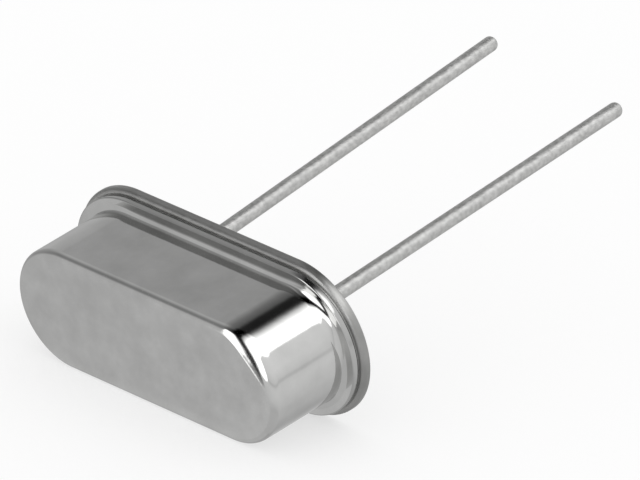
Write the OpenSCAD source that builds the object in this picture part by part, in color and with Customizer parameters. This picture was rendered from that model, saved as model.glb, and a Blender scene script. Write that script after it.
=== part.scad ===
// Low-profile quartz crystal: a drawn metal can welded to a stamped base, with two wire
// leads that pass through glass seals and carry the quartz strip inside.
//
// Every piece is drawn in the crystal's own frame: the origin is the middle of the base's
// underside, +X runs along the can's length and +Z points to the top of the can.
// lay_down() then turns the finished crystal onto its long side, where it comes to rest on
// the rim of the base and the edge of the can's top, with the leads rising towards +Y.

/* [Can] */
// Length of the can over its round ends
can_length = 10.2; // [9.6:0.1:11.2]
// Width of the can across its flat sides
can_width = 3.8; // [3.5:0.05:4.2]
// Height from the underside of the base to the top of the can
overall_height = 3.3; // [3.1:0.05:4.2]
// Thickness of the sheet that the can is drawn from
can_sheet = 0.2; // [0.12:0.01:0.25]
// Outer radius where the top turns into the side wall
can_top_radius = 0.2; // [0.1:0.01:0.35]
// Inner radius where the top turns into the side wall
can_top_inner_radius = 0.1; // [0.04:0.01:0.2]
// Outer radius where the side wall turns out into the flange
can_flare_radius = 0.15; // [0.08:0.01:0.2]
// How far the can's flange stands out from its side wall
can_flange_reach = 0.39; // [0.35:0.01:0.6]
// Radius on the upper edge of the can's flange
can_flange_edge_radius = 0.04; // [0.02:0.01:0.08]
// Radius on the lower edge of the can's flange
can_flange_lower_radius = 0.03; // [0.01:0.01:0.03]

/* [Base] */
// Thickness of the base's rim
base_rim_thickness = 0.28; // [0.2:0.01:0.4]
// How far the base's rim stands out past the can's flange
base_rim_overhang = 0.15; // [0.05:0.01:0.3]
// Radius on the upper edge of the base's rim
base_rim_upper_radius = 0.07; // [0.02:0.01:0.1]
// Radius on the lower edge of the base's rim
base_rim_lower_radius = 0.04; // [0.02:0.01:0.09]
// Height of the weld ridge that the can's flange sits on
weld_ridge_height = 0.06; // [0.03:0.01:0.12]
// Width of the weld ridge
weld_ridge_width = 0.2; // [0.06:0.01:0.2]
// Height of the raised middle above the rim
plateau_rise = 0.2; // [0.1:0.01:0.3]
// Gap between the raised middle and the can's inner wall
plateau_gap = 0.06; // [0.03:0.01:0.15]
// Radius on the upper edge of the raised middle
plateau_edge_radius = 0.06; // [0.02:0.01:0.1]
// Depth of the pressed hollow in the underside
underside_depth = 0.12; // [0.06:0.01:0.18]
// Width of the metal left between that hollow and the edge of the raised middle
underside_margin = 0.24; // [0.15:0.01:0.4]

/* [Glass seals] */
// Diameter of the glass bead round each lead
seal_diameter = 1.3; // [1.1:0.05:1.5]
// Height of the eyelets, and of the glass, above the underside of the base
eyelet_height = 0.95; // [0.85:0.01:1.05]
// Wall thickness of each eyelet
eyelet_wall = 0.17; // [0.1:0.01:0.22]
// Radius at the mouth of each eyelet, where the metal is drawn upwards
eyelet_mouth_radius = 0.1; // [0.04:0.01:0.14]
// Radius of the glass where it creeps down each lead
glass_creep_radius = 0.12; // [0.04:0.01:0.16]

/* [Leads] */
// Diameter of the tinned wire
lead_diameter = 0.46; // [0.38:0.01:0.52]
// Distance between the two leads where they leave the base
lead_pitch = 4.88; // [4.6:0.02:5.2]
// Length of the left lead below the base, along the wire
left_lead_length = 13.8; // [5:0.05:20]
// Length of the right lead below the base, along the wire
right_lead_length = 13.25; // [5:0.05:20]
// Straight length of the lead before its bend
lead_straight_start = 0.25; // [0.15:0.05:1]
// Radius of the slight bend near the base, to the middle of the wire
lead_bend_radius = 2.5; // [1.5:0.1:5]
// Angle that both leads rise towards +Y after the bend
lead_rise_angle = 4; // [0.5:0.5:8]
// Angle that the left lead splays outwards
left_lead_splay_angle = 0.7; // [0:0.1:4]
// Angle that the right lead splays outwards
right_lead_splay_angle = 1.9; // [0:0.1:4]
// Radius on the cut end of each lead
lead_end_radius = 0.12; // [0.04:0.01:0.18]
// Diameter of the flattened head inside the can
lead_head_diameter = 0.8; // [0.6:0.05:0.9]
// Thickness of that head
lead_head_thickness = 0.12; // [0.08:0.01:0.16]

/* [Spring clips] */
// Thickness of the clip's sheet
clip_sheet = 0.1; // [0.06:0.01:0.12]
// Width of the clip
clip_width = 0.9; // [0.7:0.05:1.1]
// Height of the clip over its foot and upright
clip_height = 1.45; // [1.4:0.01:1.55]
// Inner radius of the clip's bend
clip_bend_radius = 0.08; // [0.04:0.01:0.1]
// Radius on the upper corners of the clip
clip_corner_radius = 0.2; // [0.05:0.01:0.3]
// Gap between the slot and the plated strip
clip_slot_gap = 0.01; // [0.005:0.005:0.03]

/* [Quartz strip] */
// Gap between each end of the strip and the can's inner wall
blank_end_gap = 0.9; // [0.6:0.05:1.2]
// Thickness of the strip
blank_thickness = 0.17; // [0.1:0.01:0.25]
// Gap between the strip and the can's ceiling
blank_top_gap = 0.15; // [0.08:0.01:0.2]
// Gap between the strip and the foot of each clip
blank_foot_gap = 0.13; // [0.1:0.01:0.2]
// How far each end of the strip stands out through its clip
blank_end_overhang = 0.18; // [0.08:0.01:0.3]

/* [Electrodes] */
// Length of each plated pad
pad_length = 4; // [3:0.1:5]
// Height of each plated pad
pad_height = 1.2; // [0.8:0.05:1.3]
// Height of the strip of plating that runs from the pad to a clip
track_height = 0.5; // [0.3:0.05:0.6]
// Distance from the end of that track to the end of the quartz
track_end_margin = 0.06; // [0.02:0.01:0.07]
// Thickness of the plating
plating_thickness = 0.02; // [0.01:0.01:0.03]

/* [Adhesive] */
// Diameter of each dot of conductive adhesive
dot_diameter = 0.64; // [0.4:0.02:0.7]
// Height of each dot
dot_height = 0.2; // [0.1:0.01:0.25]
// Distance from each dot to the top of its clip
dot_top_margin = 0.05; // [0.02:0.01:0.1]

/* [Hidden] */

$fn = 96;
LEFT = -1;
RIGHT = 1;
UPPER = 1;
LOWER = -1;
cut_margin = 1;

// Outlines: a racetrack is given by its end radius; all of them share the same end centres.
can_end_radius = can_width / 2;
half_straight = can_length / 2 - can_end_radius;
can_inner_radius = can_end_radius - can_sheet;
can_flange_radius = can_end_radius + can_flange_reach;
base_rim_radius = can_flange_radius + base_rim_overhang;
plateau_radius = can_inner_radius - plateau_gap;
underside_radius = plateau_radius - underside_margin;
flare_inner_radius = can_flare_radius + can_sheet;
weld_ridge_inner = can_inner_radius + flare_inner_radius;

// Heights above the underside of the base
can_bottom = base_rim_thickness + weld_ridge_height;
can_flange_top = can_bottom + can_sheet;
can_ceiling = overall_height - can_sheet;
plateau_top = base_rim_thickness + plateau_rise;
glass_bottom = underside_depth + eyelet_mouth_radius;
head_top = eyelet_height + lead_head_thickness;
foot_top = head_top + clip_sheet;
blank_bottom = foot_top + blank_foot_gap;
blank_top = can_ceiling - blank_top_gap;
blank_middle = (blank_bottom + blank_top) / 2;
clip_top = head_top + clip_height;
dot_middle = clip_top - dot_top_margin - dot_diameter / 2;

// Radii and places of the inner pieces
seal_radius = seal_diameter / 2;
eyelet_radius = seal_radius + eyelet_wall;
lead_radius = lead_diameter / 2;
lead_x = lead_pitch / 2;
blank_half_length = can_length / 2 - can_sheet - blank_end_gap;
blank_half_thickness = blank_thickness / 2;
clip_outer_x = blank_half_length - blank_end_overhang;
clip_inner_x = clip_outer_x - clip_sheet;
slot_half_width = blank_half_thickness + plating_thickness + clip_slot_gap;
dot_radius = dot_diameter / 2;
dot_sphere_radius = (dot_radius * dot_radius + dot_height * dot_height) / (2 * dot_height);

// The lead's path after its bend, for the left (-1) or the right (1) lead. The lead leans
// by lean_angle in the direction lean_azimuth, seen from the top of the can.
function lead_splay(side) = side == LEFT ? left_lead_splay_angle : right_lead_splay_angle;
function lean_x(side) = side * tan(lead_splay(side));
function lean_y() = tan(lead_rise_angle);
function lean_angle(side) = atan(norm([lean_x(side), lean_y()]));
function lean_azimuth(side) = atan2(lean_y(), lean_x(side));
function bend_length(side) = lead_bend_radius * lean_angle(side) * PI / 180;
function lead_length(side) = side == LEFT ? left_lead_length : right_lead_length;
function lead_run(side) = lead_length(side) - lead_straight_start - bend_length(side);
function lead_direction(side) = [
    sin(lean_angle(side)) * cos(lean_azimuth(side)),
    sin(lean_angle(side)) * sin(lean_azimuth(side)),
    -cos(lean_angle(side))
];
function bend_end(side) = [
    side * lead_x + lead_bend_radius * (1 - cos(lean_angle(side))) * cos(lean_azimuth(side)),
    lead_bend_radius * (1 - cos(lean_angle(side))) * sin(lean_azimuth(side)),
    -lead_straight_start - lead_bend_radius * sin(lean_angle(side))
];

// Rest on the long side: one straight line touches the rounding of the base's rim and the
// rounding of the can's top, and rest_tilt is the angle between that line and the can's axis.
rim_contact_y = base_rim_radius - base_rim_upper_radius;
rim_contact_z = base_rim_thickness - base_rim_upper_radius;
top_contact_y = can_end_radius - can_top_radius;
top_contact_z = overall_height - can_top_radius;
contact_step = rim_contact_y - top_contact_y;
contact_span = top_contact_z - rim_contact_z;
rest_tilt = acos((can_top_radius - base_rim_upper_radius) / norm([contact_step, contact_span]))
    - atan2(contact_span, contact_step);
rest_lift = rim_contact_y * cos(rest_tilt) + rim_contact_z * sin(rest_tilt)
    + base_rim_upper_radius;

// Reach of the lying crystal along Y, from the can's top to the furthest lead end, which
// places the origin under the middle of its box.
along_y = [0, -sin(rest_tilt), -cos(rest_tilt)];
function end_reach(side) =
    (bend_end(side) + lead_direction(side) * (lead_run(side) - lead_end_radius)) * along_y
    + (lead_radius - lead_end_radius) * sqrt(1 - pow(lead_direction(side) * along_y, 2))
    + lead_end_radius;
top_reach = top_contact_y * sin(rest_tilt) + top_contact_z * cos(rest_tilt) + can_top_radius;
rest_shift = (top_reach - max(end_reach(LEFT), end_reach(RIGHT))) / 2;

module lay_down() {
    translate([0, rest_shift, rest_lift])
        rotate([90 + rest_tilt, 0, 0])
            children();
}

// A square corner minus its rounding, with the arc facing away from the origin: taken off a
// convex corner or added to a concave one
module corner(radius) {
    difference() {
        square(radius);
        translate([radius, radius]) circle(radius);
    }
}

// Rectangle from the axis out to a radius, between two heights, with its upper outer corner
// rounded
module block_profile(radius, bottom, top, upper_radius) {
    difference() {
        translate([0, bottom]) square([radius, top - bottom]);
        translate([radius, top]) rotate(180) corner(upper_radius);
    }
}

// The same with its lower outer corner rounded too
module rim_profile(radius, bottom, top, lower_radius, upper_radius) {
    difference() {
        block_profile(radius, bottom, top, upper_radius);
        translate([radius, bottom]) mirror([1, 0]) corner(lower_radius);
    }
}

// Racetrack solid: the child profile, drawn in X (distance from the middle line) and Y
// (height), is carried along both straight sides and round both ends
module racetrack() {
    rotate([90, 0, 90])
        linear_extrude(2 * half_straight, center = true) {
            children();
            mirror([1, 0]) children();
        }
    for (side = [LEFT, RIGHT])
        translate([side * half_straight, 0, 0])
            rotate([0, 0, -90 * side])
                rotate_extrude(angle = 180)
                    children();
}

// --- Can -----------------------------------------------------------------------------

module can_outside() {
    rim_profile(can_flange_radius, can_bottom, can_flange_top,
        can_flange_lower_radius, can_flange_edge_radius);
    block_profile(can_end_radius, can_bottom, overall_height, can_top_radius);
    translate([can_end_radius, can_flange_top]) corner(can_flare_radius);
}

module can_inside() {
    block_profile(can_inner_radius, can_bottom - cut_margin, can_ceiling, can_top_inner_radius);
    translate([can_inner_radius, can_bottom]) corner(flare_inner_radius);
}

module can() {
    color("silver")
        lay_down()
            racetrack()
                difference() {
                    can_outside();
                    can_inside();
                }
}

// --- Base ----------------------------------------------------------------------------

module base_profile() {
    difference() {
        union() {
            rim_profile(base_rim_radius, 0, base_rim_thickness,
                base_rim_lower_radius, base_rim_upper_radius);
            block_profile(plateau_radius, 0, plateau_top, plateau_edge_radius);
            translate([weld_ridge_inner, base_rim_thickness - weld_ridge_height])
                square([weld_ridge_width, 2 * weld_ridge_height]);
        }
        translate([0, -cut_margin]) square([underside_radius, underside_depth + cut_margin]);
    }
}

// Hole for one glass bead, with the drawn-in rounding at its mouth
module eyelet_hole() {
    translate([0, 0, -cut_margin]) cylinder(r = seal_radius, h = eyelet_height + 2 * cut_margin);
    rotate_extrude()
        translate([seal_radius, underside_depth]) corner(eyelet_mouth_radius);
}

module base() {
    color("gainsboro")
        lay_down()
            difference() {
                union() {
                    racetrack() base_profile();
                    for (side = [LEFT, RIGHT])
                        translate([side * lead_x, 0, underside_depth])
                            cylinder(r = eyelet_radius, h = eyelet_height - underside_depth);
                }
                for (side = [LEFT, RIGHT])
                    translate([side * lead_x, 0, 0]) eyelet_hole();
            }
}

// --- Glass seals ---------------------------------------------------------------------

module glass_seal(side) {
    color("darkslategray")
        lay_down()
            translate([side * lead_x, 0, 0])
                rotate_extrude() {
                    translate([lead_radius, glass_bottom])
                        square([seal_radius - lead_radius, eyelet_height - glass_bottom]);
                    translate([lead_radius, glass_bottom]) mirror([0, 1])
                        corner(glass_creep_radius);
                }
}

// --- Leads ---------------------------------------------------------------------------

// Wire along -Z with a rounded end
module wire_with_end(length) {
    mirror([0, 0, 1])
        rotate_extrude()
            block_profile(lead_radius, 0, length, lead_end_radius);
}

// Bend in the plane of X and Z, turning from -Z towards +X, and the straight run after it
module bent_run(lean, length) {
    translate([lead_bend_radius, 0, 0])
        rotate([-90, 0, 180])
            rotate_extrude(angle = lean)
                translate([lead_bend_radius, 0])
                    circle(lead_radius);
    translate([lead_bend_radius * (1 - cos(lean)), 0, -lead_bend_radius * sin(lean)])
        rotate([0, -lean, 0])
            wire_with_end(length);
}

module lead(side) {
    color("lightgray")
        lay_down()
            translate([side * lead_x, 0, 0]) {
                translate([0, 0, eyelet_height])
                    cylinder(d = lead_head_diameter, h = lead_head_thickness);
                translate([0, 0, -lead_straight_start])
                    cylinder(r = lead_radius, h = eyelet_height + lead_straight_start);
                translate([0, 0, -lead_straight_start])
                    rotate([0, 0, lean_azimuth(side)])
                        bent_run(lean_angle(side), lead_run(side));
            }
}

// --- Spring clips --------------------------------------------------------------------

// The right-hand clip: a foot welded on the lead's head, a bend and a slotted upright
module clip_right_shape() {
    bend_x = clip_inner_x - clip_bend_radius;
    bend_z = foot_top + clip_bend_radius;
    translate([0, 0, head_top])
        linear_extrude(clip_sheet) {
            translate([lead_x, 0]) circle(d = clip_width);
            translate([lead_x, -clip_width / 2]) square([bend_x - lead_x, clip_width]);
        }
    translate([bend_x, clip_width / 2, bend_z])
        rotate([90, 0, 0])
            linear_extrude(clip_width)
                intersection() {
                    difference() {
                        circle(clip_bend_radius + clip_sheet);
                        circle(clip_bend_radius);
                    }
                    mirror([0, 1]) square(clip_bend_radius + clip_sheet);
                }
    translate([clip_inner_x, 0, 0])
        rotate([90, 0, 90])
            linear_extrude(clip_sheet)
                difference() {
                    translate([-clip_width / 2, bend_z]) square([clip_width, clip_top - bend_z]);
                    translate([-slot_half_width, blank_bottom])
                        square([2 * slot_half_width, clip_top]);
                    for (flip = [0, 1])
                        mirror([flip, 0])
                            translate([clip_width / 2, clip_top])
                                rotate(180) corner(clip_corner_radius);
                }
}

module clip(side) {
    color("darkkhaki")
        lay_down()
            mirror([side == LEFT ? 1 : 0, 0, 0]) clip_right_shape();
}

// --- Quartz strip, electrodes and adhesive ----------------------------------------------

module quartz_blank() {
    color("lightcyan")
        lay_down()
            translate([-blank_half_length, -blank_half_thickness, blank_bottom])
                cube([2 * blank_half_length, blank_thickness, blank_top - blank_bottom]);
}

// Plating on one face of the strip, with its track running to the clip on one side
module plating(face, track_side) {
    track_length = blank_half_length - track_end_margin;
    translate([0, face * (blank_half_thickness + plating_thickness / 2), 0])
        rotate([90, 0, 0])
            linear_extrude(plating_thickness, center = true) {
                translate([0, blank_middle])
                    square([pad_length, pad_height], center = true);
                translate([track_side * track_length / 2, dot_middle])
                    square([track_length, track_height], center = true);
            }
}

module electrode(face, track_side) {
    color("whitesmoke") lay_down() plating(face, track_side);
}

// Domed dot in the corner between the strip and the inner side of a clip. It lies on the
// plating where a track runs to that clip, and on bare quartz elsewhere.
module glue(side, face) {
    color("silver")
        lay_down()
            difference() {
                intersection() {
                    translate([side * clip_inner_x, face * blank_half_thickness, dot_middle])
                        rotate([-90 * face, 0, 0])
                            rotate_extrude()
                                intersection() {
                                    translate([0, dot_height - dot_sphere_radius])
                                        circle(dot_sphere_radius);
                                    square([dot_radius, dot_height]);
                                }
                    translate([side * (clip_inner_x - dot_radius), 0, dot_middle])
                        cube(2 * dot_radius, center = true);
                }
                plating(face, face == UPPER ? LEFT : RIGHT);
            }
}

can();
base();
glass_seal(LEFT);  // glass_seal_left
glass_seal(RIGHT);  // glass_seal_right
lead(LEFT);  // lead_left
lead(RIGHT);  // lead_right
clip(LEFT);  // clip_left
clip(RIGHT);  // clip_right
quartz_blank();
electrode(UPPER, LEFT);  // electrode_upper
electrode(LOWER, RIGHT);  // electrode_lower
glue(LEFT, UPPER);  // glue_left_upper
glue(LEFT, LOWER);  // glue_left_lower
glue(RIGHT, UPPER);  // glue_right_upper
glue(RIGHT, LOWER);  // glue_right_lower
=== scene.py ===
"""Looks of the crystal oscillator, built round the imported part.

The can, the base, the leads and the glass seals get fine meshes of their own, on the CAD part's
sizes apart from those listed below. The inner pieces keep their CAD meshes and get better
materials. Shapes are worked out in the crystal's own frame in millimetres (+Z to the top of the
can), and LAY_DOWN turns them onto the long side, in metres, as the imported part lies.
"""

import math

import bmesh
import bpy
from mathutils import Matrix, Vector
from mathutils.geometry import intersect_point_line

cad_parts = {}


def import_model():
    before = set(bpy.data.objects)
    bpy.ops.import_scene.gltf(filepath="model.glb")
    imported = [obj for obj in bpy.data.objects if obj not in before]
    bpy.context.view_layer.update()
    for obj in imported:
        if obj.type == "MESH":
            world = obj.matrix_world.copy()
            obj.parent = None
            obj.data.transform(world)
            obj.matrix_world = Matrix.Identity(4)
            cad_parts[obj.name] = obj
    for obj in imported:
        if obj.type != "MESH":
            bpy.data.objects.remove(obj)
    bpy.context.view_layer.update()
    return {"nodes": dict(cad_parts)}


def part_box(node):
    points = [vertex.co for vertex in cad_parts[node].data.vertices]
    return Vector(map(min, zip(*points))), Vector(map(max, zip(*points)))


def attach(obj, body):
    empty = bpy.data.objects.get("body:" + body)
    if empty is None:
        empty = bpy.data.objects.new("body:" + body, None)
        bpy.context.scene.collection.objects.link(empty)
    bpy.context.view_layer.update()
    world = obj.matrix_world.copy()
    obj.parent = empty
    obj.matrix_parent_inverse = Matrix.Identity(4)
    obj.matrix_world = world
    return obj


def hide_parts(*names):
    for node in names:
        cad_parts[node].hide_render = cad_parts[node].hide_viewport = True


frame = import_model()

MM = 0.001
MICROMETRE = 0.000001
LEFT = -1
RIGHT = 1
SIDE_WORDS = {LEFT: "left", RIGHT: "right"}
DOWN = Vector((0, 0, -1))

# Sizes in millimetres and angles in degrees, as in the CAD part
CAN_LENGTH = 10.2
CAN_WIDTH = 3.8
OVERALL_HEIGHT = 3.3
SHEET = 0.2
CAN_TOP_RADIUS = 0.2
CAN_TOP_INNER_RADIUS = 0.1
CAN_FLARE_INNER_RADIUS = 0.35
FLANGE_REACH = 0.39
FLANGE_EDGE_RADIUS = 0.04
FLANGE_LOWER_RADIUS = 0.03
RIM_THICKNESS = 0.28
RIM_OVERHANG = 0.15
RIM_UPPER_RADIUS = 0.07
RIM_LOWER_RADIUS = 0.04
RIDGE_HEIGHT = 0.06
PLATEAU_RISE = 0.2
PLATEAU_GAP = 0.06
PLATEAU_EDGE_RADIUS = 0.06
HOLLOW_DEPTH = 0.12
HOLLOW_MARGIN = 0.24
SEAL_DIAMETER = 1.3
EYELET_HEIGHT = 0.95
EYELET_WALL = 0.17
EYELET_MOUTH_RADIUS = 0.1
GLASS_CREEP_RADIUS = 0.12
LEAD_DIAMETER = 0.46
LEAD_PITCH = 4.88
LEAD_LENGTHS = {LEFT: 13.8, RIGHT: 13.25}
LEAD_STRAIGHT_START = 0.25
LEAD_BEND_RADIUS = 2.5
LEAD_RISE_ANGLE = 4.0
LEAD_SPLAY_ANGLES = {LEFT: 0.7, RIGHT: 1.9}
LEAD_HEAD_DIAMETER = 0.8
LEAD_HEAD_THICKNESS = 0.12

# Sizes in millimetres that differ from the CAD part's, or that it hasn't
HOLLOW_EDGE_RADIUS = 0.03
RIM_ROUNDING = 0.15
RIDGE_WIDTH = 0.235
LEAD_END_RADIUS = 0.19
CAN_FLARE_RADIUS = 0.05
# A low collar at the wall's root: its rise, its slope in degrees, how far out it reaches, and
# how far its curve keeps to each end's direction, as a share of its width
COLLAR_RISE = 0.042
COLLAR_SLOPE = 22
COLLAR_REACH = 0.18
COLLAR_HOLD = 0.4
# The same sizes in the middle of a stretch round the right end, which is drawn more softly
SOFT_TOP_RADIUS = 0.5
SOFT_FLARE_RADIUS = 0.3
SOFT_COLLAR_RISE = 0
SOFT_COLLAR_SLOPE = 1
SOFT_COLLAR_REACH = 0.36
# That stretch's middle, in degrees round from the right end's tip, and its reach to each side
SOFT_MIDDLE = 45.0
SOFT_SPREAD = 55.0

# Worked-out sizes, in millimetres
END_RADIUS = CAN_WIDTH / 2
HALF_STRAIGHT = CAN_LENGTH / 2 - END_RADIUS
INNER_RADIUS = END_RADIUS - SHEET
FLANGE_RADIUS = END_RADIUS + FLANGE_REACH
RIM_RADIUS = FLANGE_RADIUS + RIM_OVERHANG
PLATEAU_RADIUS = INNER_RADIUS - PLATEAU_GAP
HOLLOW_RADIUS = PLATEAU_RADIUS - HOLLOW_MARGIN
RIDGE_INNER = INNER_RADIUS + CAN_FLARE_INNER_RADIUS
CAN_BOTTOM = RIM_THICKNESS + RIDGE_HEIGHT
FLANGE_TOP = CAN_BOTTOM + SHEET
CEILING = OVERALL_HEIGHT - SHEET
PLATEAU_TOP = RIM_THICKNESS + PLATEAU_RISE
SEAL_RADIUS = SEAL_DIAMETER / 2
EYELET_RADIUS = SEAL_RADIUS + EYELET_WALL
LEAD_RADIUS = LEAD_DIAMETER / 2
LEAD_X = LEAD_PITCH / 2
GLASS_BOTTOM = HOLLOW_DEPTH + EYELET_MOUTH_RADIUS

# Fineness of the meshes
END_STEPS = 96
SIDE_STEPS = 24
ROUND_STEPS = 96
WIRE_STEPS = 48
TOP_STEPS = 6
WALL_STEPS = 8
BEND_STEPS = 6
RUN_STEPS = 60
TOP_ARC_STEPS = 24
ARC_STEPS = 12
CREEP_ARC_STEPS = 10
SMALL_ARC_STEPS = 8
EDGE_ARC_STEPS = 6
TIGHT_ARC_STEPS = 4
# Vertices closer than this, in millimetres, are one
SAME_PLACE = 1e-5
# Edges sharper than this angle stay sharp, and flat faces weigh this much in the shading
SHARP_ANGLE = 40.0
FLAT_FACE_WEIGHT = 90

# The camera, as in the photograph: a long lens, placed in millimetres in the row frame. Angles
# are in degrees, and the clips in metres
CAMERA_PLACE = (214.1067, -227.4344, 138.5274)
CAMERA_AZIMUTH = 43.42679
CAMERA_ELEVATION = 23.48602
CAMERA_ROLL = 2.70548
CAMERA_LENS = 675.0
CAMERA_SENSOR = 36.0
CAMERA_CLIP = 0.01, 10.0


# --- The lying frame ------------------------------------------------------------------

def rest_tilt():
    """Angle between the can's axis and the line that it rests on."""
    step = (RIM_RADIUS - RIM_UPPER_RADIUS) - (END_RADIUS - CAN_TOP_RADIUS)
    span = (OVERALL_HEIGHT - CAN_TOP_RADIUS) - (RIM_THICKNESS - RIM_UPPER_RADIUS)
    difference = CAN_TOP_RADIUS - RIM_UPPER_RADIUS
    return math.acos(difference / math.hypot(step, span)) - math.atan2(span, step)


def lay_down():
    """Matrix from the crystal's own frame, in millimetres, to the row frame, in metres. The
    lift comes from the rim's size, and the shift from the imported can's box."""
    tilt = rest_tilt()
    lift = ((RIM_RADIUS - RIM_UPPER_RADIUS) * math.cos(tilt)
            + (RIM_THICKNESS - RIM_UPPER_RADIUS) * math.sin(tilt) + RIM_UPPER_RADIUS)
    top_reach = ((END_RADIUS - CAN_TOP_RADIUS) * math.sin(tilt)
                 + (OVERALL_HEIGHT - CAN_TOP_RADIUS) * math.cos(tilt) + CAN_TOP_RADIUS)
    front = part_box("can")[0][1] / MM
    turn = Matrix.Rotation(math.pi / 2 + tilt, 4, "X")
    return Matrix.Scale(MM, 4) @ Matrix.Translation((0, front + top_reach, lift)) @ turn


LAY_DOWN = lay_down()


# --- Mesh tools -----------------------------------------------------------------------

def mix(low, high, share):
    """The value that lies a share of the way from low to high."""
    return low + (high - low) * share


def arc(centre, radius, start, end, steps=ARC_STEPS):
    """Points on an arc in the profile's plane, from start to end in degrees."""
    points = []
    for i in range(steps + 1):
        angle = math.radians(mix(start, end, i / steps))
        points.append((centre[0] + radius * math.cos(angle), centre[1] + radius * math.sin(angle)))
    return points


def between(start, end, steps):
    """Points strictly between two profile points."""
    return [(mix(start[0], end[0], i / steps), mix(start[1], end[1], i / steps))
            for i in range(1, steps)]


def racetrack_stations():
    """(centre x, azimuth in degrees) of each station round the racetrack, anticlockwise."""
    stations = []
    for side in (RIGHT, LEFT):
        start = -90 if side == RIGHT else 90
        for i in range(END_STEPS + 1):
            stations.append((side * HALF_STRAIGHT, start + 180 * i / END_STEPS))
        for i in range(1, SIDE_STEPS):
            stations.append((side * HALF_STRAIGHT * (1 - 2 * i / SIDE_STEPS), start + 180))
    return stations


def section_verts(mesh, profile, centre_x, angle):
    """Vertices of a profile that stands at an angle round an upright axis."""
    return [mesh.verts.new((centre_x + rho * math.cos(angle), rho * math.sin(angle), z))
            for rho, z in profile]


def skin(mesh, sections):
    """Faces between each section's vertices and the next one's, all the way round. Returns the
    first and the last loop."""
    for here, there in zip(sections, sections[1:] + sections[:1]):
        for i in range(len(here) - 1):
            mesh.faces.new((here[i], there[i], there[i + 1], here[i + 1]))
    return [section[0] for section in sections], [section[-1] for section in sections]


def sweep_racetrack(mesh, profile_at):
    """Carries a profile round the racetrack. profile_at(centre x, azimuth) gives the points
    there, always as many. Returns the first and the last loop of vertices."""
    sections = []
    for centre_x, azimuth in racetrack_stations():
        section = profile_at(centre_x, azimuth)
        sections.append(section_verts(mesh, section, centre_x, math.radians(azimuth)))
    return skin(mesh, sections)


def revolve(mesh, profile, centre_x):
    """Turns a profile round an upright axis. Returns the first and the last loop."""
    return skin(mesh, [section_verts(mesh, profile, centre_x, 2 * math.pi * k / ROUND_STEPS)
                       for k in range(ROUND_STEPS)])


def loop_edges(mesh, loop):
    """The closed loop's edges, made where they are missing."""
    edges = []
    for a, b in zip(loop, loop[1:] + loop[:1]):
        edges.append(mesh.edges.get((a, b)) or mesh.edges.new((a, b)))
    return edges


def fill(mesh, *loops):
    """Fills the flat area between an outer loop and the holes in it."""
    edges = [edge for loop in loops for edge in loop_edges(mesh, loop)]
    bmesh.ops.triangle_fill(mesh, use_beauty=True, use_dissolve=False, edges=edges)


def finished_piece(name, mesh, node, slot, *materials):
    """Lays the mesh down, shades it smooth with sharp edges, parents it to the root body, and
    hides the CAD node that it stands for.
    """
    bmesh.ops.remove_doubles(mesh, verts=mesh.verts, dist=SAME_PLACE)
    bmesh.ops.recalc_face_normals(mesh, faces=mesh.faces)
    data = bpy.data.meshes.new(name)
    mesh.to_mesh(data)
    mesh.free()
    data.transform(LAY_DOWN)
    data.polygons.foreach_set("use_smooth", [True] * len(data.polygons))
    data.set_sharp_from_angle(angle=math.radians(SHARP_ANGLE))
    for material in materials:
        data.materials.append(material)
    piece = bpy.data.objects.new(name, data)
    bpy.context.collection.objects.link(piece)
    weigh = piece.modifiers.new("even_shading", "WEIGHTED_NORMAL")
    weigh.keep_sharp = True
    weigh.weight = FLAT_FACE_WEIGHT
    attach(piece, "root")
    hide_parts(node)


# --- Pieces ---------------------------------------------------------------------------

def soft_share(centre_x, azimuth):
    """0 where the can is drawn crisply, up to 1 in the middle of its soft stretch."""
    if centre_x < HALF_STRAIGHT:
        return 0.0
    away = abs(azimuth - SOFT_MIDDLE) / SOFT_SPREAD
    return 0.5 + 0.5 * math.cos(math.pi * min(away, 1.0))


def collar(start, end, lean):
    """Curve from the can's flare, which slopes down at an angle, to its level flange."""
    hold = COLLAR_HOLD * (end[0] - start[0])
    corners = (start, (start[0] + hold * math.cos(lean), start[1] - hold * math.sin(lean)),
               (end[0] - hold, end[1]), end)
    points = []
    for i in range(1, ARC_STEPS + 1):
        t = i / ARC_STEPS
        weights = ((1 - t) ** 3, 3 * t * (1 - t) ** 2, 3 * t * t * (1 - t), t ** 3)
        points.append(tuple(sum(w * corner[k] for w, corner in zip(weights, corners))
                            for k in (0, 1)))
    return points


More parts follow.
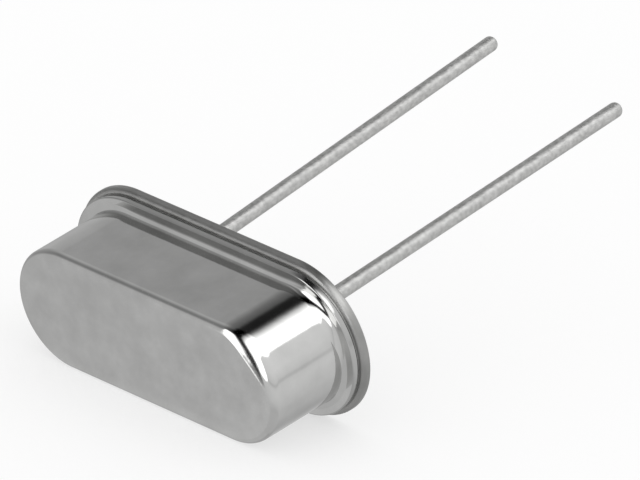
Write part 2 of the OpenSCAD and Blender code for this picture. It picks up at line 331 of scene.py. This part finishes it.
def can_profile(centre_x, azimuth):
    """Section of the can's wall, from the middle of the top round to the ceiling."""
    share = soft_share(centre_x, azimuth)
    top_radius = mix(CAN_TOP_RADIUS, SOFT_TOP_RADIUS, share)
    flare_radius = mix(CAN_FLARE_RADIUS, SOFT_FLARE_RADIUS, share)
    rise = mix(COLLAR_RISE, SOFT_COLLAR_RISE, share)
    slope = mix(COLLAR_SLOPE, SOFT_COLLAR_SLOPE, share)
    reach = mix(COLLAR_REACH, SOFT_COLLAR_REACH, share)
    top_edge = (END_RADIUS - top_radius, OVERALL_HEIGHT)
    wall_head = (END_RADIUS, OVERALL_HEIGHT - top_radius)
    wall_foot = (END_RADIUS, FLANGE_TOP + rise + flare_radius)
    flare = arc((END_RADIUS + flare_radius, wall_foot[1]), flare_radius, 180, 270 - slope)
    collar_end = (END_RADIUS + reach, FLANGE_TOP)
    flange_edge = (FLANGE_RADIUS - FLANGE_EDGE_RADIUS, FLANGE_TOP - FLANGE_EDGE_RADIUS)
    flange_lower = (FLANGE_RADIUS - FLANGE_LOWER_RADIUS, CAN_BOTTOM + FLANGE_LOWER_RADIUS)
    inner_flare = (RIDGE_INNER, CAN_BOTTOM + CAN_FLARE_INNER_RADIUS)
    inner_top = (INNER_RADIUS - CAN_TOP_INNER_RADIUS, CEILING - CAN_TOP_INNER_RADIUS)
    return (
        [(0, OVERALL_HEIGHT)]
        + between((0, OVERALL_HEIGHT), top_edge, TOP_STEPS)
        + arc((top_edge[0], wall_head[1]), top_radius, 90, 0, TOP_ARC_STEPS)
        + between(wall_head, wall_foot, WALL_STEPS)
        + flare
        + collar(flare[-1], collar_end, math.radians(slope))
        + arc(flange_edge, FLANGE_EDGE_RADIUS, 90, 0)
        + arc(flange_lower, FLANGE_LOWER_RADIUS, 0, -90, TIGHT_ARC_STEPS)
        + arc(inner_flare, CAN_FLARE_INNER_RADIUS, 270, 180)
        + arc(inner_top, CAN_TOP_INNER_RADIUS, 0, 90, EDGE_ARC_STEPS)
        + [(0, CEILING)]
    )


def distance_out(point):
    """Distance of a point from the racetrack's middle line."""
    past_end = max(abs(point.x) - HALF_STRAIGHT, 0.0)
    return math.hypot(past_end, point.y)


def can_shell(material, edge_material):
    """The can. The cut edge of its flange has a duller material than the drawn sheet."""
    mesh = bmesh.new()
    sweep_racetrack(mesh, can_profile)
    for face in mesh.faces:
        if distance_out(face.calc_center_median()) > FLANGE_RADIUS - FLANGE_EDGE_RADIUS:
            face.material_index = 1
    finished_piece("can_shell", mesh, "can", "can", material, edge_material)


def base_profile():
    """Section of the base, from the hollow in its underside out and up to the raised middle."""
    hollow_edge = (HOLLOW_RADIUS + HOLLOW_EDGE_RADIUS, HOLLOW_EDGE_RADIUS)
    rim_lower = (RIM_RADIUS - RIM_LOWER_RADIUS, RIM_LOWER_RADIUS)
    rim_upper = (RIM_RADIUS - RIM_ROUNDING, RIM_THICKNESS - RIM_ROUNDING)
    plateau_edge = (PLATEAU_RADIUS - PLATEAU_EDGE_RADIUS, PLATEAU_TOP - PLATEAU_EDGE_RADIUS)
    ridge_outer = RIDGE_INNER + RIDGE_WIDTH
    return (
        [(HOLLOW_RADIUS, HOLLOW_DEPTH)]
        + arc(hollow_edge, HOLLOW_EDGE_RADIUS, 180, 270, TIGHT_ARC_STEPS)
        + arc(rim_lower, RIM_LOWER_RADIUS, -90, 0, EDGE_ARC_STEPS)
        + arc(rim_upper, RIM_ROUNDING, 0, 90)
        + [(ridge_outer, RIM_THICKNESS), (ridge_outer, CAN_BOTTOM),
           (RIDGE_INNER, CAN_BOTTOM), (RIDGE_INNER, RIM_THICKNESS),
           (PLATEAU_RADIUS, RIM_THICKNESS)]
        + arc(plateau_edge, PLATEAU_EDGE_RADIUS, 0, 90, EDGE_ARC_STEPS)
    )


def eyelet_profile():
    """Section of one eyelet, from its mouth in the underside up and over to the raised middle."""
    mouth = (SEAL_RADIUS + EYELET_MOUTH_RADIUS, HOLLOW_DEPTH + EYELET_MOUTH_RADIUS)
    return (
        arc(mouth, EYELET_MOUTH_RADIUS, 270, 180, SMALL_ARC_STEPS)
        + [(SEAL_RADIUS, EYELET_HEIGHT), (EYELET_RADIUS, EYELET_HEIGHT),
           (EYELET_RADIUS, PLATEAU_TOP)]
    )


def base_plate(material):
    """The base, with its two drawn eyelets."""
    mesh = bmesh.new()
    hollow, plateau = sweep_racetrack(mesh, lambda *station: base_profile())
    eyelets = [revolve(mesh, eyelet_profile(), side * LEAD_X) for side in (LEFT, RIGHT)]
    fill(mesh, hollow, *[mouth for mouth, _ in eyelets])
    fill(mesh, plateau, *[foot for _, foot in eyelets])
    finished_piece("base_plate", mesh, "base", "base", material)


def glass_bead(side, material):
    """One glass seal: flat above, with the glass creeping down the lead below."""
    mesh = bmesh.new()
    creep = (LEAD_RADIUS + GLASS_CREEP_RADIUS, GLASS_BOTTOM - GLASS_CREEP_RADIUS)
    profile = (
        [(LEAD_RADIUS, EYELET_HEIGHT)]
        + arc(creep, GLASS_CREEP_RADIUS, 180, 90, CREEP_ARC_STEPS)
        + [(SEAL_RADIUS, GLASS_BOTTOM), (SEAL_RADIUS, EYELET_HEIGHT), (LEAD_RADIUS, EYELET_HEIGHT)]
    )
    revolve(mesh, profile, side * LEAD_X)
    word = SIDE_WORDS[side]
    finished_piece(f"glass_bead_{word}", mesh, f"glass_seal_{word}", "glass_seal", material)


def lead_path(side):
    """Points (place, heading) down the middle of one lead, below its head."""
    lean_x = side * math.tan(math.radians(LEAD_SPLAY_ANGLES[side]))
    lean_y = math.tan(math.radians(LEAD_RISE_ANGLE))
    lean = math.atan(math.hypot(lean_x, lean_y))
    outward = Vector((lean_x, lean_y, 0)).normalized()
    corner = Vector((side * LEAD_X, 0, -LEAD_STRAIGHT_START))
    path = [(Vector((side * LEAD_X, 0, z)), DOWN) for z in (EYELET_HEIGHT, 0)] + [(corner, DOWN)]
    for i in range(1, BEND_STEPS + 1):
        angle = lean * i / BEND_STEPS
        place = (corner + outward * LEAD_BEND_RADIUS * (1 - math.cos(angle))
                 + DOWN * LEAD_BEND_RADIUS * math.sin(angle))
        path.append((place, outward * math.sin(angle) + DOWN * math.cos(angle)))
    bend_end, heading = path[-1]
    run = LEAD_LENGTHS[side] - LEAD_STRAIGHT_START - LEAD_BEND_RADIUS * lean - LEAD_END_RADIUS
    for i in range(1, RUN_STEPS + 1):
        path.append((bend_end + heading * run * i / RUN_STEPS, heading))
    return path


def lead_wire(side, material):
    """One lead: the flattened head, the wire down its path, and the cut end with its rounding."""
    mesh = bmesh.new()
    head_top = Vector((side * LEAD_X, 0, EYELET_HEIGHT + LEAD_HEAD_THICKNESS))
    head_foot = Vector((side * LEAD_X, 0, EYELET_HEIGHT))
    head_radius = LEAD_HEAD_DIAMETER / 2
    stations = [(head_top, DOWN, 0.0), (head_top, DOWN, head_radius),
                (head_foot, DOWN, head_radius)]
    path = lead_path(side)
    stations += [(place, heading, LEAD_RADIUS) for place, heading in path]
    last, heading = path[-1]
    rounding = arc((LEAD_RADIUS - LEAD_END_RADIUS, 0), LEAD_END_RADIUS, 0, 90, SMALL_ARC_STEPS)
    for rho, depth in rounding[1:]:
        stations.append((last + heading * depth, heading, rho))
    stations.append((last + heading * LEAD_END_RADIUS, heading, 0.0))
    rings = []
    for place, heading, radius in stations:
        side_way = heading.cross(Vector((0, 1, 0))).normalized()
        other_way = heading.cross(side_way)
        ring = []
        for k in range(WIRE_STEPS):
            angle = 2 * math.pi * k / WIRE_STEPS
            ring.append(mesh.verts.new(place + radius * (side_way * math.cos(angle)
                                                         + other_way * math.sin(angle))))
        rings.append(ring)
    for here, there in zip(rings, rings[1:]):
        for k in range(WIRE_STEPS):
            j = (k + 1) % WIRE_STEPS
            mesh.faces.new((here[k], here[j], there[j], there[k]))
    word = SIDE_WORDS[side]
    finished_piece(f"lead_wire_{word}", mesh, f"lead_{word}", "lead", material)


# --- Materials ------------------------------------------------------------------------

# Where most values of a noise texture lie
NOISE_RANGE = 0.3, 0.7
# A metal's longer waves are this many times as wide and as deep as its grain
WAVE_RATIO = 6


def start_material(name, **sockets):
    """A Principled material with these values on its own sockets, its tree and its shader."""
    material = bpy.data.materials.new(name)
    material.use_nodes = True
    shader = material.node_tree.nodes["Principled BSDF"]
    for socket, value in sockets.items():
        shader.inputs[socket.replace("_", " ")].default_value = value
    return material, material.node_tree, shader


def noise(tree, size, detail):
    """Noise in object space whose grain is about size millimetres."""
    place = tree.nodes.new("ShaderNodeTexCoord")
    texture = tree.nodes.new("ShaderNodeTexNoise")
    texture.inputs["Scale"].default_value = 1 / (size * MM)
    texture.inputs["Detail"].default_value = detail
    tree.links.new(place.outputs["Object"], texture.inputs["Vector"])
    return texture.outputs["Fac"]


def ramp(tree, factor, low, high):
    """Colour or grey between low and high, over the range where noise mostly lies."""
    node = tree.nodes.new("ShaderNodeValToRGB")
    for element, place, value in zip(node.color_ramp.elements, NOISE_RANGE, (low, high)):
        element.position = place
        element.color = (*value, 1) if isinstance(value, tuple) else (value, value, value, 1)
    tree.links.new(factor, node.inputs["Fac"])
    return node.outputs["Color"]


def bump(tree, height, depth, below=None):
    """Bump of a height texture, with depth in micrometres, on top of another bump."""
    node = tree.nodes.new("ShaderNodeBump")
    node.inputs["Strength"].default_value = 1.0
    node.inputs["Distance"].default_value = depth * MICROMETRE
    tree.links.new(height, node.inputs["Height"])
    if below is not None:
        tree.links.new(below, node.inputs["Normal"])
    return node.outputs["Normal"]


def metal(name, dark, light, smooth, rough, grain, depth, patch=0.9):
    """Metal with patches of colour, patches of polish, and a fine grain over longer waves. The
    grain and the patches are in millimetres, and the grain's depth in micrometres."""
    material, tree, shader = start_material(name, Metallic=1.0)
    links = tree.links
    links.new(ramp(tree, noise(tree, patch, 4), dark, light), shader.inputs["Base Color"])
    links.new(ramp(tree, noise(tree, patch / 2, 5), smooth, rough), shader.inputs["Roughness"])
    waves = bump(tree, noise(tree, WAVE_RATIO * grain, 2), WAVE_RATIO * depth)
    links.new(bump(tree, noise(tree, grain, 3), depth, waves), shader.inputs["Normal"])
    return material


NICKEL = metal("nickel_plate", dark=(0.56, 0.56, 0.553), light=(0.64, 0.64, 0.633),
               smooth=0.06, rough=0.1, grain=0.07, depth=0.25)
EDGE_NICKEL = metal("cut_edge_nickel", dark=(0.45, 0.45, 0.444), light=(0.5, 0.5, 0.494),
                    smooth=0.08, rough=0.16, grain=0.05, depth=0.3)
BASE_NICKEL = metal("base_nickel", dark=(0.31, 0.31, 0.304), light=(0.39, 0.39, 0.383),
                    smooth=0.3, rough=0.4, grain=0.06, depth=1.2)
TIN = metal("hot_dipped_tin", dark=(0.47, 0.47, 0.463), light=(0.65, 0.65, 0.64),
            smooth=0.45, rough=0.62, grain=0.09, depth=9.0, patch=0.13)
CLIP_METAL = metal("clip_metal", dark=(0.5, 0.48, 0.43), light=(0.62, 0.6, 0.54),
                   smooth=0.28, rough=0.4, grain=0.05, depth=1.0)
SILVER = metal("electrode_silver", dark=(0.78, 0.77, 0.74), light=(0.86, 0.85, 0.83),
               smooth=0.15, rough=0.25, grain=0.04, depth=0.4)


def seal_glass():
    """Dark fused glass with faint clouds and a slightly uneven surface."""
    material, tree, shader = start_material("seal_glass", Roughness=0.08, IOR=1.52)
    links = tree.links
    links.new(ramp(tree, noise(tree, 0.25, 4), (0.012, 0.02, 0.018), (0.05, 0.07, 0.065)),
              shader.inputs["Base Color"])
    links.new(bump(tree, noise(tree, 0.12, 2), 2.0), shader.inputs["Normal"])
    return material


def lapped_quartz():
    """Milky quartz with a finely lapped and etched surface."""
    material, tree, shader = start_material("lapped_quartz", IOR=1.544, Transmission_Weight=0.75)
    links = tree.links
    links.new(ramp(tree, noise(tree, 0.4, 3), (0.82, 0.86, 0.88), (0.9, 0.93, 0.94)),
              shader.inputs["Base Color"])
    links.new(ramp(tree, noise(tree, 0.2, 3), 0.3, 0.45), shader.inputs["Roughness"])
    links.new(bump(tree, noise(tree, 0.02, 2), 1.5), shader.inputs["Normal"])
    return material


def silver_epoxy():
    """Silver-filled epoxy: dull grey paste with brighter specks."""
    material, tree, shader = start_material("silver_epoxy")
    links = tree.links
    specks = noise(tree, 0.03, 2)
    links.new(ramp(tree, specks, (0.42, 0.41, 0.39), (0.66, 0.65, 0.63)),
              shader.inputs["Base Color"])
    links.new(ramp(tree, specks, 0.2, 0.75), shader.inputs["Metallic"])
    links.new(ramp(tree, noise(tree, 0.1, 3), 0.45, 0.65), shader.inputs["Roughness"])
    links.new(bump(tree, noise(tree, 0.05, 4), 6.0), shader.inputs["Normal"])
    return material


def repaint(material, *nodes):
    """Gives CAD nodes that stay in the scene their material."""
    for name in nodes:
        node = frame["nodes"][name]
        node.data.materials.clear()
        node.data.materials.append(material)


# --- Studio ---------------------------------------------------------------------------

WHITE = (1, 1, 1, 1)
WORLD_LIGHT = 1.0
FLOOR_COLOUR = (0.97, 0.97, 0.97, 1)
FLOOR_GLOW = 0.6
# In metres
FLOOR_HALF_WIDTH = 2.5
TENT_RADIUS = 2.0
TENT_COLUMNS = 360
TENT_ROWS = 240


def direction(azimuth, elevation):
    """Unit vector from the object. Azimuth 0 is the front (-Y) and 90 the right (+X)."""
    azimuth, elevation = math.radians(azimuth), math.radians(elevation)
    return Vector((math.sin(azimuth) * math.cos(elevation),
                   -math.cos(azimuth) * math.cos(elevation), math.sin(elevation)))


def camera():
    data = bpy.data.cameras.new("camera")
    data.sensor_width = CAMERA_SENSOR
    data.sensor_fit = "HORIZONTAL"
    data.lens = CAMERA_LENS
    data.clip_start, data.clip_end = CAMERA_CLIP
    obj = bpy.data.objects.new("camera", data)
    turn = (Matrix.Rotation(math.radians(CAMERA_AZIMUTH), 4, "Z")
            @ Matrix.Rotation(math.radians(90 - CAMERA_ELEVATION), 4, "X")
            @ Matrix.Rotation(math.radians(CAMERA_ROLL), 4, "Z"))
    obj.matrix_world = Matrix.Translation(Vector(CAMERA_PLACE) * MM) @ turn
    bpy.context.collection.objects.link(obj)
    bpy.context.scene.camera = obj


def seen_directly(tree):
    """1 for rays from the camera, off gloss or through glass, and 0 for the rest."""
    path = tree.nodes.new("ShaderNodeLightPath")
    total = path.outputs["Is Camera Ray"]
    for name in ("Is Glossy Ray", "Is Transmission Ray"):
        larger = tree.nodes.new("ShaderNodeMath")
        larger.operation = "MAXIMUM"
        tree.links.new(total, larger.inputs[0])
        tree.links.new(path.outputs[name], larger.inputs[1])
        total = larger.outputs[0]
    return total


def mixed_shader(tree, share, first, second):
    """Two shaders mixed, with the share of the second."""
    node = tree.nodes.new("ShaderNodeMixShader")
    tree.links.new(share, node.inputs[0])
    tree.links.new(first.outputs[0], node.inputs[1])
    tree.links.new(second.outputs[0], node.inputs[2])
    return node.outputs[0]


def world():
    """White where it is seen, and a plain soft light on everything else."""
    data = bpy.data.worlds.new("studio")
    bpy.context.scene.world = data
    data.use_nodes = True
    data.cycles.sampling_method = "NONE"
    tree = data.node_tree
    soft = tree.nodes["Background"]
    soft.inputs["Strength"].default_value = WORLD_LIGHT
    white = tree.nodes.new("ShaderNodeBackground")
    for background in (soft, white):
        background.inputs["Color"].default_value = WHITE
    seen = mixed_shader(tree, seen_directly(tree), soft, white)
    tree.links.new(seen, tree.nodes["World Output"].inputs[0])


def bare_material(data):
    """Gives a mesh a material that has only its output node."""
    material = bpy.data.materials.new(data.name)
    material.use_nodes = True
    nodes = material.node_tree.nodes
    nodes.remove(nodes["Principled BSDF"])
    data.materials.append(material)
    return material


def floor():
    """White floor. Where it is seen, part of it glows, so that it is white and keeps a
    soft shadow."""
    mesh = bmesh.new()
    bmesh.ops.create_grid(mesh, x_segments=1, y_segments=1, size=FLOOR_HALF_WIDTH)
    data = bpy.data.meshes.new("floor")
    mesh.to_mesh(data)
    mesh.free()
    obj = bpy.data.objects.new("floor", data)
    bpy.context.collection.objects.link(obj)
    obj.visible_glossy = False
    tree = bare_material(data).node_tree
    paint = tree.nodes.new("ShaderNodeBsdfDiffuse")
    paint.inputs["Color"].default_value = FLOOR_COLOUR
    light = tree.nodes.new("ShaderNodeEmission")
    share = tree.nodes.new("ShaderNodeMath")
    share.operation = "MULTIPLY"
    share.inputs[1].default_value = FLOOR_GLOW
    tree.links.new(seen_directly(tree), share.inputs[0])
    seen = mixed_shader(tree, share.outputs[0], paint, light)
    tree.links.new(seen, tree.nodes["Material Output"].inputs[0])


def soft_step(value, edge, softness):
    """0 below the edge and 1 above it, turning smoothly over the softness."""
    t = min(max((value - edge) / softness + 0.5, 0.0), 1.0)
    return t * t * (3 - 2 * t)


def inside(value, low, high, softness):
    """1 between low and high and 0 outside them, with soft edges."""
    return soft_step(value, low, softness) * (1 - soft_step(value, high, softness))


def along(value, *stops):
    """Straight-line value between (place, value) stops."""
    if value <= stops[0][0]:
        return stops[0][1]
    for (a, low), (b, high) in zip(stops, stops[1:]):
        if value <= b:
            return mix(low, high, (value - a) / (b - a))
    return stops[-1][1]


# The dark gap between the studio's white sheets, from behind over the top and down in front:
# azimuth, elevation, where its dark ends and full light starts on the left and on the right,
# in degrees from its middle, and the light inside
GAP = (
    (-158, 50, (1, 9), (3, 28), 0.02),
    (-158, 66, (1, 9), (3, 28), 0.02),
    (-150, 80, (3, 13), (5, 20), 0.0),
    (0, 82, (4, 14), (5, 20), 0.0),
    (1, 56, (4, 16), (5, 20), 0.0),
    (3, 38, (4, 14), (4, 14), 0.01),
    (4, 27, (3.5, 12.5), (3, 12), 0.03),
    (4, 13, (3, 12), (3, 11), 0.05),
    (3, 2, (3, 12), (2, 8), 0.03),
    (-3, -8, (2, 8), (1.5, 5.5), 0.04),
    (-8, -12.7, (1.4, 5.4), (2, 8), 0.07),
    (-17, -20.5, (0.3, 1.3), (2.2, 8.8), 0.25),
    (-28, -27.5, (0.3, 1.1), (1, 4), 0.3),
    (-40, -33.7, (0.3, 0.9), (0.3, 0.9), 0.7),
)
# Columns of GAP, after azimuth and elevation
GAP_LEFT, GAP_RIGHT, GAP_LIGHT = 2, 3, 4
# Light left of the gap, by degrees from it, and right of it, by elevation
LEFT_LIGHT = ((5, 0.03), (10, 0.14), (16, 0.21), (22, 0.35), (29, 0.53), (35, 0.58), (48, 0.66),
              (62, 0.74), (80, 0.8))
RIGHT_LIGHT = ((-45, 0.62), (-30, 0.76), (-8, 0.83), (6, 0.80), (20, 0.91), (40, 0.96))
# Light of the pale ground on the left, and where it ends. Here and below, an edge is the
# middle of the change and the degrees that it takes
GROUND_LIGHT = 0.6
GROUND_EDGE = 8, 30
# A soft shade at the front left: azimuth, elevation, share of the light that it takes
SHADE = ((-20, 38, 0.54), (-47, 27, 0.56), (-60, 20, 0.55), (-76, 13, 0.5), (-91, 4, 0.42),
         (-101, -5, 0.28), (-111, -14, 0.12))
SHADE_TAKES = 2
SHADE_UPPER_EDGE = 30, 44
SHADE_LOWER_EDGE = 15, 28
# A weaker shade low down behind: its share, its two sides with their softness, in the azimuths
# of left_light (from -180) and of right_light (from 0), and its upper edge
REAR_SHADE = 0.2
REAR_LEFT = -185, -100, 40
REAR_RIGHT = 175, 260, 40
REAR_UPPER_EDGE = -10, 30
# A faint band along the horizon on the right: its share, its two sides and their softness
BAND_SHADE = 0.15
BAND = 0, 5, 4
# Lower edge of the softbox on the right, as (azimuth, elevation), and its edge behind
SOFTBOX_EDGE = ((6, -7), (12, -6.5), (18, -5), (24, -2.5), (29, 0), (33, 6), (36, 26), (41, 32),
                (48, 36.5), (55, 40.5), (80, 44), (131, 44), (160, 62), (190, 66))
SOFTBOX_SOFTNESS = 2.5
SOFTBOX_REAR_EDGE = 180, 20
SOFTBOX_LIGHT = 2.2
# Left edge of the white panel in front, as (elevation, azimuth), and its other edges
PANEL_EDGE = ((-34.5, -48), (-30.5, -43.5), (-26, -39.5), (-22, -36.5), (-17, -35), (-12, -33),
              (-5, -29), (30, -27))
PANEL_SOFTNESS = 5
PANEL_RIGHT_EDGE = 90, 20
PANEL_UPPER_EDGE = 34.5, 12
PANEL_LIGHT = 2.2


def nearest(way, path):
    """The nearest point of a path to a direction: degrees away, whether the direction is left
    of the path as seen from the object, and the two stops on either side with the share of the
    second."""
    found = 180.0, False, path[0], path[0], 0.0
    for here, there in zip(path, path[1:]):
        a, b = direction(*here[:2]), direction(*there[:2])
        share = min(max(intersect_point_line(way, a, b)[1], 0.0), 1.0)
        away = math.degrees(way.angle(a.lerp(b, share)))
        if away < found[0]:
            found = away, a.cross(b).dot(way) < 0, here, there, share
    return found


def shade(way):
    """Share of the light that the soft shade at the front left takes."""
    away, above, here, there, share = nearest(way, SHADE)
    edge = SHADE_UPPER_EDGE if above else SHADE_LOWER_EDGE
    return mix(here[SHADE_TAKES], there[SHADE_TAKES], share) * (1 - soft_step(away, *edge))


def rear_shade(azimuth, elevation, sides):
    """Share of the light that the weaker shade behind takes."""
    return REAR_SHADE * inside(azimuth, *sides) * (1 - soft_step(elevation, *REAR_UPPER_EDGE))


def left_light(azimuth, elevation, away):
    """Light left of the gap: a shaded side, the pale ground, and a bright panel in front."""
    light = mix(GROUND_LIGHT, along(away, *LEFT_LIGHT), soft_step(elevation, *GROUND_EDGE))
    light *= 1 - shade(direction(azimuth, elevation))
    light *= 1 - rear_shade(azimuth, elevation, REAR_LEFT)
    panel = soft_step(azimuth, along(elevation, *PANEL_EDGE), PANEL_SOFTNESS)
    panel *= 1 - soft_step(azimuth, *PANEL_RIGHT_EDGE)
    panel *= 1 - soft_step(elevation, *PANEL_UPPER_EDGE)
    return mix(light, PANEL_LIGHT, panel)


def right_light(azimuth, elevation):
    """Light right of the gap: a pale side with a softbox above."""
    turn = azimuth % 360
    light = along(elevation, *RIGHT_LIGHT) * (1 - BAND_SHADE * inside(elevation, *BAND))
    light *= 1 - rear_shade(turn, elevation, REAR_RIGHT)
    softbox = soft_step(elevation, along(turn, *SOFTBOX_EDGE), SOFTBOX_SOFTNESS)
    softbox *= 1 - soft_step(turn, *SOFTBOX_REAR_EDGE)
    return mix(light, SOFTBOX_LIGHT, softbox)


def sheet_light(azimuth, elevation):
    """Brightness of the white sheets round the object in one direction."""
    away, on_left, here, there, share = nearest(direction(azimuth, elevation), GAP)
    column = GAP_LEFT if on_left else GAP_RIGHT
    start, end = (mix(low, high, share) for low, high in zip(here[column], there[column]))
    light = left_light(azimuth, elevation, away) if on_left else right_light(azimuth, elevation)
    clear = soft_step(away, (start + end) / 2, end - start)
    return mix(mix(here[GAP_LIGHT], there[GAP_LIGHT], share), light, clear)


def tent():
    """White sheets all round the object, which only rays off gloss and through glass see. They
    hide the world from those rays, and floor() hides the floor from gloss."""
    verts, faces, glow = [], [], []
    for j in range(TENT_ROWS + 1):
        for i in range(TENT_COLUMNS + 1):
            azimuth = mix(-180, 180, i / TENT_COLUMNS)
            elevation = mix(-90, 90, j / TENT_ROWS)
            verts.append(direction(azimuth, elevation) * TENT_RADIUS)
            glow.append(sheet_light(azimuth, elevation))
    row = TENT_COLUMNS + 1
    for j in range(TENT_ROWS):
        for k in range(j * row, j * row + TENT_COLUMNS):
            faces.append((k, k + 1, k + row + 1, k + row))
    data = bpy.data.meshes.new("tent")
    data.from_pydata(verts, [], faces)
    data.attributes.new("glow", "FLOAT", "POINT").data.foreach_set("value", glow)
    obj = bpy.data.objects.new("tent", data)
    bpy.context.collection.objects.link(obj)
    obj.visible_camera = False
    obj.visible_diffuse = False
    obj.visible_shadow = False
    material = bare_material(data)
    material.cycles.emission_sampling = "NONE"
    tree = material.node_tree
    read = tree.nodes.new("ShaderNodeAttribute")
    read.attribute_name = "glow"
    light = tree.nodes.new("ShaderNodeEmission")
    tree.links.new(read.outputs["Fac"], light.inputs["Strength"])
    tree.links.new(light.outputs[0], tree.nodes["Material Output"].inputs[0])


camera()
world()
floor()
tent()

can_shell(NICKEL, EDGE_NICKEL)
base_plate(BASE_NICKEL)
SEAL_GLASS = seal_glass()
for side in (LEFT, RIGHT):
    glass_bead(side, SEAL_GLASS)
    lead_wire(side, TIN)
repaint(CLIP_METAL, "clip_left", "clip_right")
repaint(lapped_quartz(), "quartz_blank")
repaint(SILVER, "electrode_upper", "electrode_lower")
repaint(silver_epoxy(), "glue_left_upper", "glue_left_lower", "glue_right_upper",
        "glue_right_lower")

bpy.context.scene.view_settings.view_transform = "Standard"
